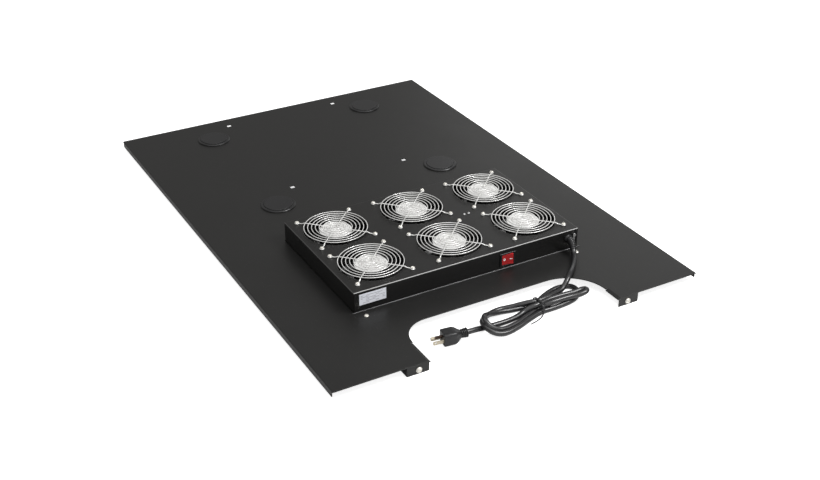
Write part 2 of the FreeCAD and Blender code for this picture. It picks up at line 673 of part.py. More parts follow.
# ------------------------------------------------------------------ switch
def make_switch():
    """Snap-in rocker switch: hollow body with a bezel, and a rocker on two stub pins."""
    body = new_body("switch_body")
    bezel = new_sketch(body, "XZ_Plane")
    rectangle(bezel, "0", "0", "sizes.switch_wide", "sizes.switch_tall")
    pad(body, bezel, "2")
    round_edges(body, "1", lambda e: near(e.CenterOfMass.y, -2))
    block = new_sketch(body, "XZ_Plane")
    rectangle(block, "0", "0", "27", "23")
    pad(body, block, "20", down=True)
    well = new_sketch(body, "XZ_Plane", "3")
    rectangle(well, "0", "0", "2 * sizes.rocker_half + 2.8", "20.8")
    pocket(body, well, "13")
    pivot = new_sketch(body, lift="-11.1")
    circle(pivot, "0", "2.5", "1.3")
    pocket(body, pivot, "22.2", up=True)
    blades = new_sketch(body, "XZ_Plane", "-20")
    for side in (-1, 1):
        for end in (-1, 1):
            rectangle(blades, f"{side} * 7", f"{end} * 5", "0.8", "6.3")
    pad(body, blades, "8", down=True)
    place(body, "sizes.switch_x", BOX_FRONT, "sizes.switch_z")
    keep(body, "switch_body")

    rocker = new_body("switch_rocker")
    section = new_sketch(rocker, lift="-10")
    half = "sizes.rocker_half"
    polygon(section, [(f"-{half}", "-5.8"), (f"-{half} * 0.45", "-5"), ("0", "-4.7"),
                      (f"{half} * 0.45", "-5"), (half, "-5.8"), (half, "-2"), (f"{half} * 0.7", "3.2"),
                      (f"-{half} * 0.7", "3.2"), (f"-{half}", "-2")])
    pad(rocker, section, "20")
    pins = new_sketch(rocker, lift="-10.9")
    circle(pins, "0", "0", "1.25")
    pad(rocker, pins, "21.8")
    place(rocker, "sizes.switch_x", f"{BOX_FRONT} + 2.5", "sizes.switch_z")
    rocker.Placement.Rotation = FreeCAD.Rotation(V(0, 0, 1), -value("sizes.rocker_tilt"))
    keep(rocker, "switch_rocker")


# ------------------------------------------------------------------ cord fittings
def turned_to_front(body, x, z):
    """Stand a part that was revolved about Z on the housing front, nose to the front."""
    place(body, x, BOX_FRONT, z)
    body.Placement.Rotation = FreeCAD.Rotation(V(1, 0, 0), 90)
    return body


SLEEVE = [
    (V(204, -331, 40), V(0, -1, 0), 5.9), (V(204, -336, 39.7), V(-0.1, -1, -0.25), 5.4),
    (V(203, -341.6, 37.6), V(-0.25, -1, -0.6), 5), (V(201.6, -346.4, 33.8), V(-0.3, -0.8, -0.9), 4.5),
    (V(200, -350.6, 29.4), V(-0.35, -0.9, -0.85), 4),
]


def make_fittings():
    """Gland, its clip, the terminal block with rivets and the blank label."""
    seat = new_body("gland_seat")
    profile = new_sketch(seat, "XZ_Plane")
    polygon(profile, [("0", "-8"), ("6.3", "-8"), ("6.3", "-6"), ("7.6", "-2.4"), ("7.6", "-1.2"),
                      ("6.9", "-1.2"), ("6.9", "0"), ("8.6", "0"), ("8.6", "1.6"), ("7.4", "2.6"),
                      ("6.6", "4.6"), ("0", "4.6")])
    revolve(seat, profile)
    turned_to_front(seat, "sizes.gland_x", "sizes.gland_z")
    sleeve = doc.addObject("Part::Feature", "gland_sleeve")
    rings = [Part.Wire(Part.makeCircle(radius, middle, way)) for middle, way, radius in SLEEVE]
    sleeve.Shape = Part.makeLoft(rings, True, False)
    gland = doc.addObject("Part::MultiFuse", "cord_gland")
    gland.Shapes = [seat, sleeve]
    doc.recompute()
    keep(gland, "cord_gland")

    clip = new_body("cord_clip")
    strip = new_sketch(clip)
    rectangle(strip, "0", "0", "2.8", "22")
    pad(clip, strip, "1.2")
    head = new_sketch(clip, lift="1.2")
    circle(head, "0", "8.6", "3.2")
    pad(clip, head, "1.4")
    shank = new_sketch(clip)
    circle(shank, "0", "8.6", "1.1")
    pad(clip, shank, "5", down=True)
    keep(turned_to_front(clip, "sizes.clip_x", "sizes.clip_z"), "cord_clip")

    label = new_body("rating_label")
    face = new_sketch(label)
    rectangle(face, "0", "0", "sizes.label_wide", "sizes.label_tall")
    pad(label, face, "0.2")
    keep(turned_to_front(label, "sizes.label_x", "sizes.label_z"), "rating_label")

    block = new_body("terminal_block")
    base = new_sketch(block)
    rectangle(base, "0", "0", "26", "11")
    pad(block, base, "13", down=True)
    wells = new_sketch(block, lift="-13")
    for i in (-1, 0, 1):
        circle(wells, f"{i} * 8", "0", "2.4")
    pocket(block, wells, "7", up=True)
    bores = new_sketch(block)
    for side in (-1, 1):
        circle(bores, f"{side} * 4.65", "3", "1.5")
    pocket(block, bores, "6")
    place(block, "sizes.block_x", "sizes.fan_mid_y", FAN_TOP)
    keep(block, "terminal_block")

    rivet = new_body("rivet_master")
    profile = new_sketch(rivet, "XZ_Plane")
    polygon(profile, [("0", "-6"), ("1.4", "-6"), ("1.4", "0"), ("2.6", "0"), ("2.4", "0.7"),
                      ("1.5", "1.3"), ("0", "1.5")])
    revolve(rivet, profile)
    spots = [(f"sizes.block_x + {side} * 4.65", "sizes.fan_mid_y + 3", BOX_TOP) for side in (-1, 1)]
    group_of("block_rivets", rivet, spots)


# ------------------------------------------------------------------ mains lead
LEAD_ROUTE = [
    V(200, -350.6, 29.4), V(196.5, -359.5, 22.8), V(185, -375, 21.6), V(168.5, -392.5, 21.7),
    V(152.5, -408, 25.4), V(138, -420.5, 22), V(126.5, -426, 12.5), V(119, -428.6, 9.6),
]
TAIL_ROUTE = [V(-46, -454, 3.7), V(-60, -456, 7.5), V(-74, -459.8, 11.2), V(-89, -460.6, 12)]


def tube(route, label):
    """A cord along straight runs joined by the largest tangent arcs that fit."""
    radius = value("sizes.cord_r")
    edges = []
    start = route[0]
    length = 0.0
    for before, corner, after in zip(route, route[1:], route[2:]):
        back = before - corner
        ahead = after - corner
        turn = math.pi - back.getAngle(ahead)
        cut = 0.45 * min(back.Length, ahead.Length)
        bend = cut / math.tan(turn / 2)
        print(f"{label}: turn {math.degrees(turn):.1f} deg, radius {bend:.1f} mm")
        enter = corner + V(back).normalize() * cut
        leave = corner + V(ahead).normalize() * cut
        inward = (V(back).normalize() + V(ahead).normalize()).normalize()
        middle = corner + inward * (bend / math.cos(turn / 2) - bend)
        edges.append(Part.LineSegment(start, enter).toShape())
        edges.append(Part.Arc(enter, middle, leave).toShape())
        length += (enter - start).Length + bend * turn
        start = leave
    edges.append(Part.LineSegment(start, route[-1]).toShape())
    length += (route[-1] - start).Length
    path = Part.Wire(edges)
    ring = Part.Wire(Part.makeCircle(radius, route[0], route[1] - route[0]))
    solid = path.makePipeShell([ring], True, False, 2)
    if solid.Volume < 0:
        solid.reverse()
    expected = math.pi * radius * radius * length
    print(f"{label}: length {length:.1f} mm, volume {solid.Volume:.0f}, section by length {expected:.0f}")
    feature = doc.addObject("Part::Feature", label)
    feature.Shape = solid
    return keep(feature, label)


def tangent_hull(a, ra, b, rb):
    """The outline round two circles: two arcs and the two outer tangents."""
    way = b - a
    lean = math.acos((ra - rb) / way.Length)
    base = math.atan2(way.y, way.x)
    def on(centre, radius, angle):
        return V(centre.x + radius * math.cos(angle), centre.y + radius * math.sin(angle), 0)
    a_up, a_low = on(a, ra, base + lean), on(a, ra, base - lean)
    b_up, b_low = on(b, rb, base + lean), on(b, rb, base - lean)
    edges = [Part.Arc(a_up, on(a, ra, base + math.pi), a_low), Part.LineSegment(a_low, b_low),
             Part.Arc(b_low, on(b, rb, base), b_up), Part.LineSegment(b_up, a_up)]
    return Part.Face(Part.Wire([e.toShape() for e in edges]))


def plug_outline(wide, tall, corner, groove, at):
    """Corners of the plug's section, with a finger groove down each side."""
    right = [(wide - corner, tall), (wide, tall - corner), (wide, at + 1.6), (wide - groove, at),
             (wide, at - 1.6), (wide, corner - tall), (wide - corner, -tall)]
    left = [(-y, z) for y, z in reversed(right)]
    return [(str(round(y, 3)), str(round(z, 3))) for y, z in right + left]


def make_lead():
    """Free end of the lead: tube, tied hank, tail, tie, plug and its contacts."""
    tube(LEAD_ROUTE, "power_cord")
    tube(TAIL_ROUTE, "cord_tail")
    low = V(0, 0, 0.6)
    rise = V(0, 0, value("sizes.hank_height"))
    waist = V(61, -446.5, 0)
    left = tangent_hull(V(-11, -450, 0), 36, waist, 11).extrude(rise)
    right = tangent_hull(V(136, -433, 0), 27, waist, 11).extrude(rise)
    hank = doc.addObject("Part::Feature", "cord_hank")
    hank.Shape = left.fuse(right).removeSplitter().translated(low)
    keep(hank, "cord_hank")

    tie = doc.addObject("Part::Feature", "cord_tie")
    outer = Part.makeBox(4, 28.4, 14.7, V(59, -460.7, 0))
    inner = Part.makeBox(6, 26.6, 13.6, V(58, -459.8, 0.5))
    tie.Shape = outer.cut(inner)
    keep(tie, "cord_tie")

    plug = new_body("plug_body")
    wide = new_sketch(plug, "YZ_Plane", "-22")
    polygon(wide, plug_outline(11.5, 10.2, 4, 1.4, 2.5))
    pad(plug, wide, "21", down=True)
    taper = plug.newObject("PartDesign::AdditiveLoft", "plug_taper")
    root = new_sketch(plug, "YZ_Plane", "-22")
    polygon(root, plug_outline(11.5, 10.2, 4, 1.4, 2.5))
    slim = new_sketch(plug, "YZ_Plane", "-11")
    polygon(slim, plug_outline(6.2, 6.2, 2.6, 0.2, 1))
    taper.Profile = root
    taper.Sections = [slim]
    doc.recompute()
    for i in range(3):
        rib = new_sketch(plug, "YZ_Plane", str(-11 + 3.7 * i))
        circle(rib, "0", "0", str(7.5 - 0.3 * i))
        pad(plug, rib, "2.5")
        neck = new_sketch(plug, "YZ_Plane", str(round(-11 + 3.7 * i + 2.5, 2)))
        circle(neck, "0", "0", str(round(6 - 0.4 * i, 2)))
        pad(plug, neck, "1.2")
    lean = FreeCAD.Rotation(V(0, 0, 1), -9).multiply(FreeCAD.Rotation(V(0, 1, 0), -2))
    place(plug, "sizes.plug_end_x", "sizes.plug_end_y", "sizes.plug_end_z")
    plug.Placement.Rotation = lean
    keep(plug, "plug_body")

    contacts = new_body("plug_contacts")
    blades = new_sketch(contacts, "YZ_Plane", "-43")
    for end in (-1, 1):
        rectangle(blades, f"{end} * 6.35", "-1", "1.6", "6.3")
    pad(contacts, blades, "18", down=True)
    round_edges(contacts, "1.4", lambda e: near(e.CenterOfMass.x, -61) and runs_along(e, V(0, 1, 0)))
    eyes = new_sketch(contacts, "XZ_Plane", "9")
    circle(eyes, "-56.5", "-1", "1.5")
    pocket(contacts, eyes, "18")
    ground = new_sketch(contacts, "YZ_Plane", "-43")
    circle(ground, "0", "5.2", "2.4")
    pad(contacts, ground, "20.5", down=True)
    round_edges(contacts, "1.8", lambda e: near(e.CenterOfMass.x, -63.5))
    place(contacts, "sizes.plug_end_x", "sizes.plug_end_y", "sizes.plug_end_z")
    contacts.Placement.Rotation = lean
    keep(contacts, "plug_contacts")


make_top_panel()
make_housing()
make_hole_plugs()
make_fasteners()
make_fans()
make_switch()
make_fittings()
make_lead()
doc.recompute()

# ------------------------------------------------------------------ check and write
for thing in doc.Objects:
    if "Invalid" in thing.State or "Error" in thing.State:
        raise RuntimeError(f"{thing.Name} failed: {thing.State}")
for thing in kept:
    if thing.Shape.isNull() or not thing.Shape.isValid() or not thing.Shape.Solids:
        raise RuntimeError(f"{thing.Label} has no valid solid")
os.makedirs("parts", exist_ok=True)
for thing in kept:
    thing.Shape.exportStep(f"parts/{thing.Label}.step")
    box = thing.Shape.BoundBox
    print(f"{thing.Label}: {len(thing.Shape.Solids)} solid(s), {thing.Shape.Volume / 1000:.2f} cm3, "
          f"z {box.ZMin:.2f} to {box.ZMax:.2f}")
print(f"{len(kept)} sub-parts")
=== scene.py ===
import math

import bmesh
import bpy
import numpy as np
from mathutils import Matrix, Vector


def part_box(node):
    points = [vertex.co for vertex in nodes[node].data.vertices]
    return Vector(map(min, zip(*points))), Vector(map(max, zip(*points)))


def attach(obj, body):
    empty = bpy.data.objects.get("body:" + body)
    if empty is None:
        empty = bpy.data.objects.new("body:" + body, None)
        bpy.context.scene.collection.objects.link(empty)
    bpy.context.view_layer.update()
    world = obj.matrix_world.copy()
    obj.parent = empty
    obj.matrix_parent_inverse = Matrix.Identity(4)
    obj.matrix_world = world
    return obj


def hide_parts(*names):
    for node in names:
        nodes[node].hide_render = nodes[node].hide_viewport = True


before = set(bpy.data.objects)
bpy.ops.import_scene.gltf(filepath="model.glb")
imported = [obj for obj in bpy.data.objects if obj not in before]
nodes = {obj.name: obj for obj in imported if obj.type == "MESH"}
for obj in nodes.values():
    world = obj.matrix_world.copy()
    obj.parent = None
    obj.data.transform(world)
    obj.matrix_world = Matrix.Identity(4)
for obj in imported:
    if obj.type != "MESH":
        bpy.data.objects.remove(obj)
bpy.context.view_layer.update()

# ---------------------------------------------------------------- camera
# A long normal lens looks down from the front left, so that the front edge with its cable
# cut-out climbs to the right.
azimuth, elevation, roll = math.radians(-29.15), math.radians(29.72), math.radians(-0.11)
back = Vector((math.sin(azimuth) * math.cos(elevation),
               -math.cos(azimuth) * math.cos(elevation), math.sin(elevation)))
side = Vector((0, 0, 1)).cross(back).normalized()
above = back.cross(side)
right = side * math.cos(roll) + above * math.sin(roll)
up = above * math.cos(roll) - side * math.sin(roll)
lens = bpy.data.cameras.new("camera")
lens.lens = 53.605
lens.sensor_width = 36
lens.clip_start = 0.05
lens.clip_end = 60
camera = bpy.data.objects.new("camera", lens)
camera_place = (-0.97015, -1.85162, 1.12398)
turn = Matrix((right, up, back)).transposed().to_4x4()
camera.matrix_world = Matrix.Translation(camera_place) @ turn
bpy.context.scene.collection.objects.link(camera)
bpy.context.scene.camera = camera

# ---------------------------------------------------------------- mains lead
# Round black lead, 9.4 mm thick, with a satin flexible sheath. It leaves the sleeve, lies over
# the cut-out's corner, is folded twice through a twist tie on the floor and ends in its plug.
lead_thick = 0.0094


def add_node(tree, kind, inputs=None, **settings):
    """A new shader node with its settings; an input takes a constant or another node's output."""
    made = tree.nodes.new("ShaderNode" + kind)
    for key, value in settings.items():
        setattr(made, key, value)
    for key, value in (inputs or {}).items():
        if isinstance(value, bpy.types.NodeSocket):
            tree.links.new(value, made.inputs[key])
        else:
            made.inputs[key].default_value = value
    return made


def calc(tree, operation, *terms):
    """The result of a Math node over its terms."""
    return add_node(tree, "Math", dict(enumerate(terms)), operation=operation).outputs[0]


def ramp(tree, value, start, stop, first=0.0, last=1.0):
    """value carried from start..stop over to first..last, and held beyond both ends."""
    return add_node(tree, "MapRange", {"Value": value, "From Min": start, "From Max": stop,
                                       "To Min": first, "To Max": last}).outputs[0]


def laid_over(tree, under, colour, amount):
    """The colour that shows where colour lies over under by an amount from 0 to 1."""
    mix = add_node(tree, "Mix", data_type="RGBA")
    mix.inputs["B"].default_value = (*colour, 1)
    tree.links.new(amount, mix.inputs["Factor"])
    tree.links.new(under, mix.inputs["A"])
    return mix.outputs["Result"]


def variation_group():
    """Slow patches, fine grain and sparse specks over Object coordinates, each from 0 to 1."""
    group = bpy.data.node_groups.new("surface_variation", "ShaderNodeTree")
    for name, value in (("Patch Scale", 40.0), ("Grain Scale", 1500.0), ("Speck Scale", 300.0)):
        made = group.interface.new_socket(name=name, in_out="INPUT", socket_type="NodeSocketFloat")
        made.default_value = value
    for name in ("Patch", "Grain", "Speck"):
        group.interface.new_socket(name=name, in_out="OUTPUT", socket_type="NodeSocketFloat")
    given = group.nodes.new("NodeGroupInput").outputs
    wanted = group.nodes.new("NodeGroupOutput").inputs
    spot = add_node(group, "TexCoord").outputs["Object"]
    patch = add_node(group, "TexNoise", {"Vector": spot, "Scale": given["Patch Scale"],
                                         "Detail": 3.0, "Roughness": 0.55})
    grain = add_node(group, "TexNoise", {"Vector": spot, "Scale": given["Grain Scale"],
                                         "Detail": 1.0})
    cells = add_node(group, "TexVoronoi", {"Vector": spot, "Scale": given["Speck Scale"],
                                           "Randomness": 1.0})
    near = ramp(group, cells.outputs["Distance"], 0.16, 0.06)
    chosen = add_node(group, "SeparateColor", {"Color": cells.outputs["Color"]})
    few = calc(group, "GREATER_THAN", chosen.outputs[0], 0.86)
    group.links.new(ramp(group, patch.outputs["Fac"], 0.3, 0.7), wanted["Patch"])
    group.links.new(grain.outputs["Fac"], wanted["Grain"])
    group.links.new(calc(group, "MULTIPLY", near, few), wanted["Speck"])
    return group


variation = variation_group()


def finish(name, colour, rough, metal=0.0, mottle=0.2, patch=40.0, grain=1500.0, depth=0.00003,
           edge=0.0, specks=0.0, coat=0.0, shine=0.5, bend_highlight=0.0):
    """A material whose colour and gloss wander with the patches and whose grain is a bump.

    mottle is the share by which colour and gloss wander, patch and grain are their scales per
    metre, and depth is the grain's height. edge is the radius by which sharp edges catch light,
    bend_highlight how pale a painted highlight makes the bends, and specks how much dust lies on it.
    """
    made = bpy.data.materials.new(name)
    made.use_nodes = True
    tree = made.node_tree
    shader = tree.nodes["Principled BSDF"]
    shader.inputs["Metallic"].default_value = metal
    shader.inputs["Specular IOR Level"].default_value = shine
    shader.inputs["Coat Weight"].default_value = coat
    shader.inputs["Coat Roughness"].default_value = 0.12
    wander = add_node(tree, "Group", node_tree=variation)
    wander.inputs["Patch Scale"].default_value = patch
    wander.inputs["Grain Scale"].default_value = grain
    tint = add_node(tree, "Mix", data_type="RGBA")
    tint.inputs["A"].default_value = [*[c * (1 - mottle) for c in colour], 1]
    tint.inputs["B"].default_value = [*[min(c * (1 + mottle), 1) for c in colour], 1]
    tree.links.new(wander.outputs["Patch"], tint.inputs["Factor"])
    shade = tint.outputs["Result"]
    if specks:
        dust = calc(tree, "MULTIPLY", wander.outputs["Speck"], specks)
        shade = laid_over(tree, shade, (0.3, 0.29, 0.27), dust)
    if bend_highlight:
        # Bends are where the normal leans: 4 z^2 (1 - z^2) peaks at 45 degrees, and the product
        # below is a quarter of that. Their pale colour is a painted highlight, strongest on front bends.
        lean = add_node(tree, "SeparateXYZ", {0: add_node(tree, "NewGeometry").outputs["Normal"]})
        squared = calc(tree, "MULTIPLY", lean.outputs[2], lean.outputs[2])
        both = calc(tree, "MULTIPLY", squared, calc(tree, "SUBTRACT", 1.0, squared))
        ahead = ramp(tree, lean.outputs[1], 0.0, -0.5, 0.16, 1.0)
        painted_highlight = calc(tree, "MULTIPLY", ramp(tree, both, 0.06, 0.2), ahead)
        shade = laid_over(tree, shade, (bend_highlight, bend_highlight, bend_highlight), painted_highlight)
    tree.links.new(shade, shader.inputs["Base Color"])
    gloss = ramp(tree, wander.outputs["Patch"], 0, 1, rough * (1 - mottle / 2), rough * (1 + mottle / 2))
    tree.links.new(gloss, shader.inputs["Roughness"])
    bump = add_node(tree, "Bump", {"Strength": 1.0, "Distance": depth,
                                   "Height": wander.outputs["Grain"]})
    if edge:
        worn = add_node(tree, "Bevel", {"Radius": edge}, samples=6)
        tree.links.new(worn.outputs[0], bump.inputs["Normal"])
    tree.links.new(bump.outputs[0], shader.inputs["Normal"])
    return made


def marked(made, colour, amount):
    """Lay a colour over a finished material's own, by an amount from 0 to 1."""
    shader = made.node_tree.nodes["Principled BSDF"].inputs["Base Color"]
    own = shader.links[0].from_socket
    made.node_tree.links.new(laid_over(made.node_tree, own, colour, amount), shader)


on_floor, on_strand = 0.5 * lead_thick, 1.5 * lead_thick
exit_run = [(0.2035, -0.3355, 0.0400), (0.2025, -0.3435, 0.0376), (0.2000, -0.3506, 0.0304),
            (0.1965, -0.3595, 0.0244), (0.1850, -0.3750, 0.0232), (0.1685, -0.3925, 0.0233),
            (0.1525, -0.4080, 0.0268), (0.1380, -0.4205, 0.0234), (0.1265, -0.4260, 0.0145),
            (0.1190, -0.4286, 0.0120)]
plug_run = [(-0.0460, -0.4540, 0.0051), (-0.0600, -0.4560, 0.0083), (-0.0740, -0.4598, 0.0124),
            (-0.0890, -0.4606, 0.0134)]
# From the tie along the far side to the left end, once from above and once from the floor.
far_side = [
    [(0.1035, -0.4330, 0.0128), (0.0890, -0.4370, 0.0138), (0.0740, -0.4395, on_strand),
     (0.0610, -0.4400, on_strand), (0.0480, -0.4365, on_strand), (0.0350, -0.4310, 0.0110),
     (0.0220, -0.4240, 0.0062), (0.0080, -0.4195, on_floor)],
    [(0.0580, -0.4362, on_floor), (0.0440, -0.4340, on_floor), (0.0290, -0.4320, on_floor),
     (0.0140, -0.4295, on_floor)],
]
# From the left end back through the tie and round the right end: a wide loop that lies on the
# floor, then a narrow one on top of it, which runs on as the tail.
near_side = [
    [(0.0060, -0.4765, on_floor), (0.0215, -0.4700, on_floor), (0.0395, -0.4640, on_floor),
     (0.0560, -0.4588, on_floor), (0.0730, -0.4592, on_floor), (0.0900, -0.4592, on_floor),
     (0.1060, -0.4580, on_floor), (0.1190, -0.4565, on_floor), (0.1310, -0.4530, on_floor),
     (0.1420, -0.4455, on_floor), (0.1495, -0.4360, on_floor), (0.1520, -0.4250, on_floor),
     (0.1485, -0.4160, on_floor), (0.1385, -0.4115, on_floor), (0.1250, -0.4100, on_floor),
     (0.1090, -0.4130, on_floor), (0.0940, -0.4185, on_floor), (0.0810, -0.4245, on_floor),
     (0.0700, -0.4312, on_floor)],
    [(0.0060, -0.4680, on_floor), (0.0190, -0.4625, on_floor), (0.0320, -0.4575, on_floor),
     (0.0450, -0.4525, on_floor), (0.0570, -0.4480, on_floor), (0.0660, -0.4495, 0.0070),
     (0.0750, -0.4535, 0.0120), (0.0860, -0.4550, on_strand), (0.1020, -0.4550, on_strand),
     (0.1170, -0.4560, 0.0143), (0.1290, -0.4585, 0.0152), (0.1390, -0.4612, 0.0168),
     (0.1485, -0.4610, 0.0182), (0.1535, -0.4560, 0.0182), (0.1520, -0.4500, 0.0168),
     (0.1445, -0.4480, 0.0154), (0.1325, -0.4485, 0.0145), (0.1170, -0.4458, on_strand),
     (0.0980, -0.4450, on_strand), (0.0800, -0.4448, on_strand), (0.0640, -0.4490, on_strand),
     (0.0510, -0.4500, on_strand), (0.0400, -0.4475, 0.0110), (0.0280, -0.4480, 0.0060),
     (0.0140, -0.4520, on_floor), (-0.0020, -0.4545, on_floor), (-0.0220, -0.4550, on_floor)],
]
lead_points = list(exit_run)
end_x, end_y, slant = -0.0150, -0.4515, 0.0130
for fold in range(2):
    # The left end of each fold is a leaning half ellipse. Both step over the tail, and the
    # second lies inside the first and rides up on it at the far left.
    long_half, short_half = 0.0390 - 0.0025 * fold, 0.0330 - 0.0090 * fold
    lead_points += far_side[fold]
    for step in range(9):
        angle = math.radians(84 + step * 24)
        from_top = (step - 4.5 + 0.3 * fold) / (1.8 + 0.6 * fold)
        lift = 0.0104 * math.exp(-from_top ** 2) * (1 + 0.9 * fold)
        lead_points.append((end_x + long_half * math.cos(angle) + slant * math.sin(angle),
                            end_y + short_half * math.sin(angle), on_floor + lift))
    lead_points += near_side[fold]
lead_points += plug_run

lead_curve = bpy.data.curves.new("mains_lead", "CURVE")
lead_curve.dimensions = "3D"
lead_spline = lead_curve.splines.new("NURBS")
lead_spline.points.add(len(lead_points) - 1)
lead_spline.points.foreach_set("co", np.c_[lead_points, np.ones(len(lead_points))].ravel())
lead_spline.order_u = 3
lead_spline.use_endpoint_u = True
lead_curve.resolution_u = 10
lead_curve.bevel_depth = lead_thick / 2
lead_curve.bevel_resolution = 4
lead = bpy.data.objects.new("mains_lead", lead_curve)
bpy.context.scene.collection.objects.link(lead)
lead.data.materials.append(finish("lead_sheath", (0.009, 0.009, 0.010), 0.33, shine=0.8,
                                  mottle=0.12, patch=90, grain=2600, depth=0.00001))
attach(lead, "roof_unit")
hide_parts("power_cord", "cord_hank", "cord_tail")

# ---------------------------------------------------------------- cord gland and its sleeve
# Black rubber grommet pushed through the housing's front wall. Its ribbed sleeve bends with
# the lead and thins out towards the end, so that the lead never kinks at the wall.
wall_y = -0.3273


def skin(name, grids, material, body):
    """A closed mesh over grids of points, ring after ring.

    grids has the shape (copies, rings, points round a ring, 3). Each quad joins four
    neighbours, the last point of a ring joins the first, and points that fall together at
    the poles are merged.
    """
    grids = np.asarray(grids, float)
    copies, rings, count = grids.shape[:3]
    a, i, j = np.meshgrid(np.arange(copies), np.arange(rings - 1), np.arange(count), indexing="ij")
    this = (a * rings + i) * count
    after = (j + 1) % count
    quads = np.stack([this + j, this + after, this + count + after, this + count + j], -1)
    mesh = bpy.data.meshes.new(name)
    mesh.from_pydata(grids.reshape(-1, 3).tolist(), [], quads.reshape(-1, 4).tolist())
    work = bmesh.new()
    work.from_mesh(mesh)
    bmesh.ops.remove_doubles(work, verts=work.verts, dist=1e-7)
    bmesh.ops.recalc_face_normals(work, faces=work.faces)
    work.to_mesh(mesh)
    work.free()
    mesh.polygons.foreach_set("use_smooth", np.full(len(mesh.polygons), True))
    made = bpy.data.objects.new(name, mesh)
    bpy.context.scene.collection.objects.link(made)
    mesh.materials.append(material)
    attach(made, body)
    return made


def carried(path, across, tall, sides=32, lean=(0, 0, 1)):
    """Rings carried along a path, closed at both ends with a pole.

    path is (n, 3). across and tall are half sizes per point, measured along lean x tangent
    and along the rest of the frame. Each ring is an ellipse in the plane square to the path.
    """
    path = np.asarray(path, float)
    way = np.gradient(path, axis=0)
    way /= np.linalg.norm(way, axis=1)[:, None]
    first = np.cross(lean, way)
    first /= np.linalg.norm(first, axis=1)[:, None]
    second = np.cross(way, first)
    angle = np.linspace(0, 2 * np.pi, sides, endpoint=False)
    across = np.broadcast_to(across, len(path))[:, None, None]
    tall = np.broadcast_to(tall, len(path))[:, None, None]
    rings = (path[:, None] + across * np.cos(angle)[None, :, None] * first[:, None]
             + tall * np.sin(angle)[None, :, None] * second[:, None])
    start = np.repeat(path[:1][:, None], sides, axis=1)
    end = np.repeat(path[-1:][:, None], sides, axis=1)
    return np.concatenate([start, rings, end])


def eased(stops, count):
    """A smooth run through a few points: each coordinate is a cubic in the length so far."""
    stops = np.asarray(stops, float)
    so_far = np.r_[0, np.cumsum(np.linalg.norm(np.diff(stops, axis=0), axis=1))]
    at = np.linspace(0, so_far[-1], count)
    return np.stack([np.polyval(np.polyfit(so_far, c, 3), at) for c in stops.T], 1)


sleeve_run = eased([(0.2040, -0.3262, 0.0400), (0.2040, -0.3310, 0.0400),
                    (0.2040, -0.3360, 0.0397), (0.2030, -0.3416, 0.0378),
                    (0.2016, -0.3464, 0.0344), (0.2000, -0.3506, 0.0304)], 150)
along = np.linspace(0, 1, 150)
# The cone narrows from 6.5 mm to 5 mm. Nine soft ribs 0.6 mm high would fill its length, and
# the first two, at the wall, are left out.
ribs = 0.5 * (1 - np.cos(2 * np.pi * 9 * along)) * (along > 2 / 9)
sleeve_half = 0.0065 - 0.0015 * along + 0.0006 * ribs ** 0.6
rubber = finish("gland_rubber", (0.010, 0.010, 0.011), 0.30, mottle=0.25, patch=120, grain=2200,
                depth=0.00001)
skin("gland_sleeve", [carried(sleeve_run, sleeve_half, sleeve_half, 36)], rubber, "roof_unit")


def turned(profile, sides, centre):
    """A profile of (radius, height) points turned about -Y through centre, height to the front."""
    radius, height = np.asarray(profile, float).T
    angle = np.linspace(0, 2 * np.pi, sides, endpoint=False)
    x = radius[:, None] * np.cos(angle)
    z = radius[:, None] * np.sin(angle)
    y = np.broadcast_to(-height[:, None], x.shape)
    return np.stack([x, y, z], -1) + np.asarray(centre, float)


mm = 0.001
flange = np.array([(0, -8), (6.1, -8), (6.3, -7.8), (6.4, -6), (7.5, -2.6), (7.6, -2.3),
                   (7.6, -1.3), (7.5, -1.2), (6.9, -1.2), (6.9, 0), (8.4, 0), (8.6, 0.2),
                   (8.6, 1.6), (8.5, 1.9), (8.3, 2.1), (8.0, 2.5), (7.8, 3), (7.5, 4.4),
                   (7.1, 4.7), (0, 4.8)]) * mm
gland = skin("gland_flange", [turned(flange, 48, (0.204, wall_y, 0.040))], rubber,
             "roof_unit")
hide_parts("cord_gland")

# ---------------------------------------------------------------- twist tie
# Wire in black plastic, wound twice round the hank's waist, twisted and left lying in front
# of it with its end bent away over the floor.
tie_black = finish("tie_plastic", (0.010, 0.010, 0.011), 0.38, mottle=0.3, patch=200, grain=3000,
                   depth=0.00001)
strip_half_wide, strip_half_thick = 0.0013, 0.0006
wind = np.linspace(0, 1, 260)
about = 2 * np.pi * (2.0 * wind + 0.30)
# Two turns round a soft rectangle, 33.2 mm wide and 18.6 mm high, moving 3.4 mm along the hank.
band_y = -0.4470 + 0.0166 * np.sign(np.cos(about)) * np.abs(np.cos(about)) ** 0.55
band_z = 0.0101 + 0.0093 * np.sign(np.sin(about)) * np.abs(np.sin(about)) ** 0.55
band = np.stack([0.0592 + 0.0034 * wind, band_y, band_z], 1)
tie_loops = carried(band, strip_half_thick, strip_half_wide, 12, lean=(1, 0.05, 0.02))
tie_band = skin("tie_band", [tie_loops], tie_black, "roof_unit")
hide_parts("cord_tie")
tail_run = eased([(0.0603, -0.4636, 0.0060), (0.0575, -0.4655, 0.0022), (0.0520, -0.4690, 0.0012),
                  (0.0455, -0.4722, 0.0012), (0.0384, -0.4745, 0.0012), (0.0318, -0.4762, 0.0012),
                  (0.0254, -0.4775, 0.0015)], 90)
twist_half = 0.0011
tail_run[:, 2] = np.maximum(tail_run[:, 2], twist_half)
tie_tail = skin("tie_tail", [carried(tail_run, twist_half, strip_half_thick, 12)], tie_black,
                "roof_unit")

